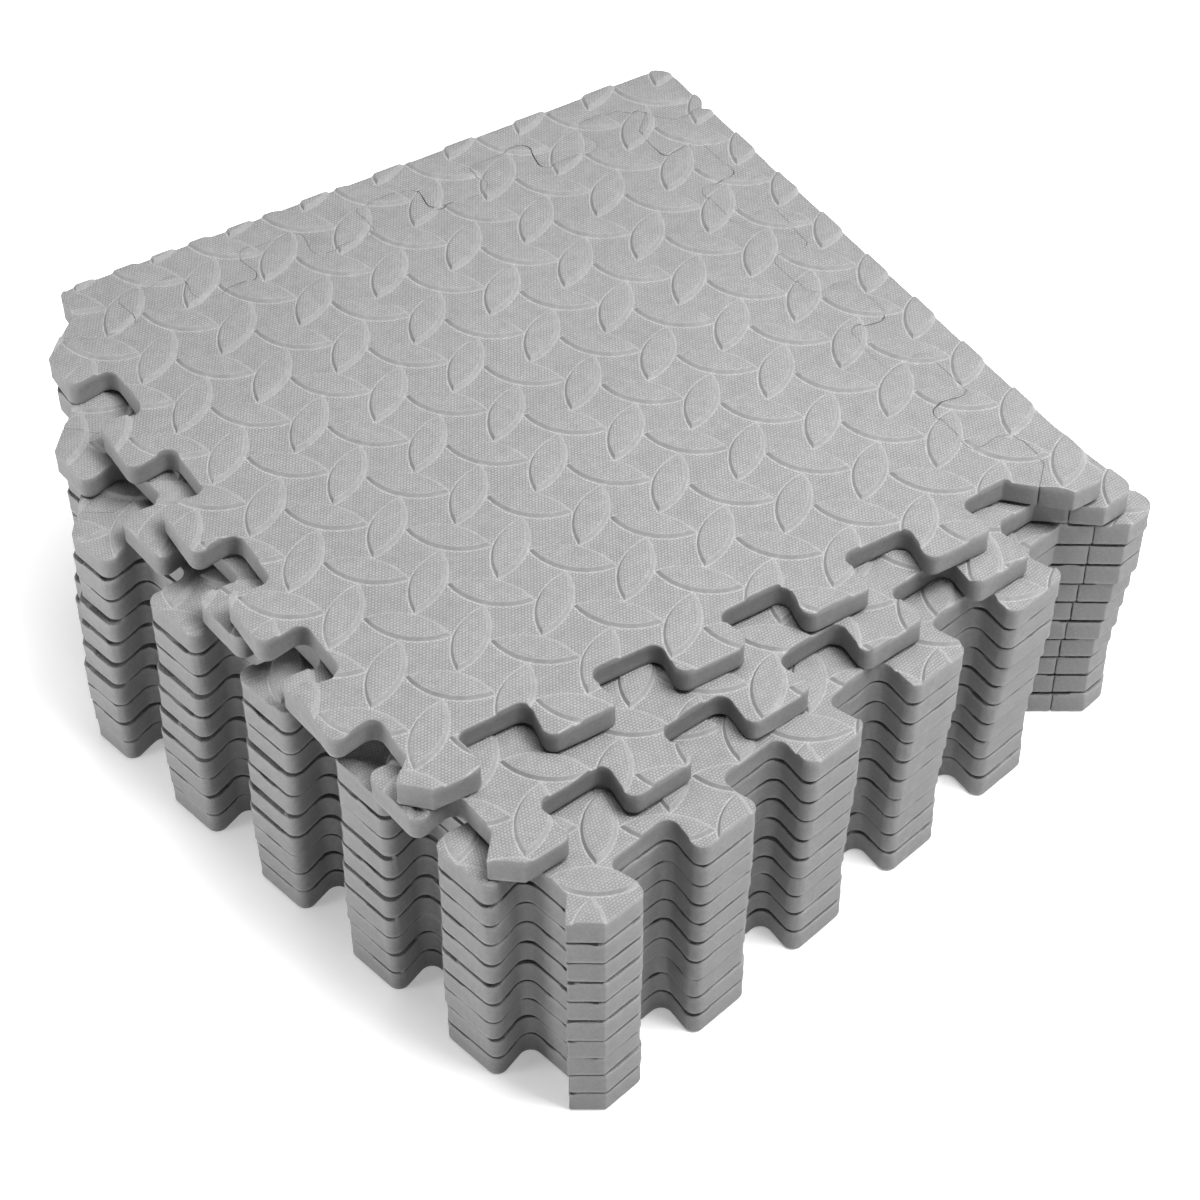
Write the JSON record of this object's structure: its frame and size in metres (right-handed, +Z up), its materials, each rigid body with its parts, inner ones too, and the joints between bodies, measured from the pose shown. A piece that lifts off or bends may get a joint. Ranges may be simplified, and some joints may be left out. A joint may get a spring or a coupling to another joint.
{
  "type": "blocking mats",
  "caption": "Stack of interlocking foam floor squares with toothed edges, raised lens tread and pressed-in border strips, the upper ones laid askew.",
  "frame": {"origin": "centre of the bottom mat's module square, on the floor", "axes": "+Z up, +X toward the bottom mat's right strip, +Y toward its back strip"},
  "size_m": [0.3988, 0.4165, 0.1522],
  "materials": {
    "mat_foam": "matt closed-cell foam, embossed",
    "strip_foam": "matt closed-cell foam, embossed"
  },
  "bodies": {
    "layer_01": {"mat_01": "mat_foam", "strip_right_01": "strip_foam", "strip_back_01": "strip_foam"},
    "layer_02": {"mat_02": "mat_foam", "strip_right_02": "strip_foam", "strip_back_02": "strip_foam"},
    "layer_03": {"mat_03": "mat_foam", "strip_right_03": "strip_foam", "strip_back_03": "strip_foam"},
    "layer_04": {"mat_04": "mat_foam", "strip_right_04": "strip_foam", "strip_back_04": "strip_foam"},
    "layer_05": {"mat_05": "mat_foam", "strip_right_05": "strip_foam", "strip_back_05": "strip_foam"},
    "layer_06": {"mat_06": "mat_foam", "strip_right_06": "strip_foam", "strip_back_06": "strip_foam"},
    "layer_07": {"mat_07": "mat_foam", "strip_right_07": "strip_foam", "strip_back_07": "strip_foam"},
    "layer_08": {"mat_08": "mat_foam", "strip_right_08": "strip_foam", "strip_back_08": "strip_foam"},
    "layer_09": {"mat_09": "mat_foam", "strip_right_09": "strip_foam", "strip_back_09": "strip_foam"},
    "layer_10": {"mat_10": "mat_foam", "strip_right_10": "strip_foam", "strip_back_10": "strip_foam"},
    "layer_11": {"mat_11": "mat_foam", "strip_right_11": "strip_foam", "strip_back_11": "strip_foam"},
    "layer_12": {"mat_12": "mat_foam"},
    "top_right_strip": {"strip_right_12": "strip_foam"},
    "top_back_strip": {"strip_back_12": "strip_foam"}
  },
  "joints": [
    {"name": "lift_mat_02", "type": "slide", "parent": "layer_01", "child": "layer_02", "axis": [0, 0, 1], "range_m": [0, 0.05]},
    {"name": "lift_mat_03", "type": "slide", "parent": "layer_02", "child": "layer_03", "axis": [0, 0, 1], "range_m": [0, 0.05]},
    {"name": "lift_mat_04", "type": "slide", "parent": "layer_03", "child": "layer_04", "axis": [0, 0, 1], "range_m": [0, 0.05]},
    {"name": "lift_mat_05", "type": "slide", "parent": "layer_04", "child": "layer_05", "axis": [0, 0, 1], "range_m": [0, 0.05]},
    {"name": "lift_mat_06", "type": "slide", "parent": "layer_05", "child": "layer_06", "axis": [0, 0, 1], "range_m": [0, 0.05]},
    {"name": "lift_mat_07", "type": "slide", "parent": "layer_06", "child": "layer_07", "axis": [0, 0, 1], "range_m": [0, 0.05]},
    {"name": "lift_mat_08", "type": "slide", "parent": "layer_07", "child": "layer_08", "axis": [0, 0, 1], "range_m": [0, 0.05]},
    {"name": "lift_mat_09", "type": "slide", "parent": "layer_08", "child": "layer_09", "axis": [0, 0, 1], "range_m": [0, 0.05]},
    {"name": "lift_mat_10", "type": "slide", "parent": "layer_09", "child": "layer_10", "axis": [0, 0, 1], "range_m": [0, 0.05]},
    {"name": "lift_mat_11", "type": "slide", "parent": "layer_10", "child": "layer_11", "axis": [0, 0, 1], "range_m": [0, 0.05]},
    {"name": "lift_mat_12", "type": "slide", "parent": "layer_11", "child": "layer_12", "axis": [0, 0, 1], "range_m": [0, 0.05]},
    {"name": "lift_top_right_strip", "type": "slide", "parent": "layer_12", "child": "top_right_strip", "axis": [0, 0, 1], "range_m": [0, 0.04]},
    {"name": "lift_top_back_strip", "type": "slide", "parent": "layer_12", "child": "top_back_strip", "axis": [0, 0, 1], "range_m": [0, 0.04]}
  ]
}
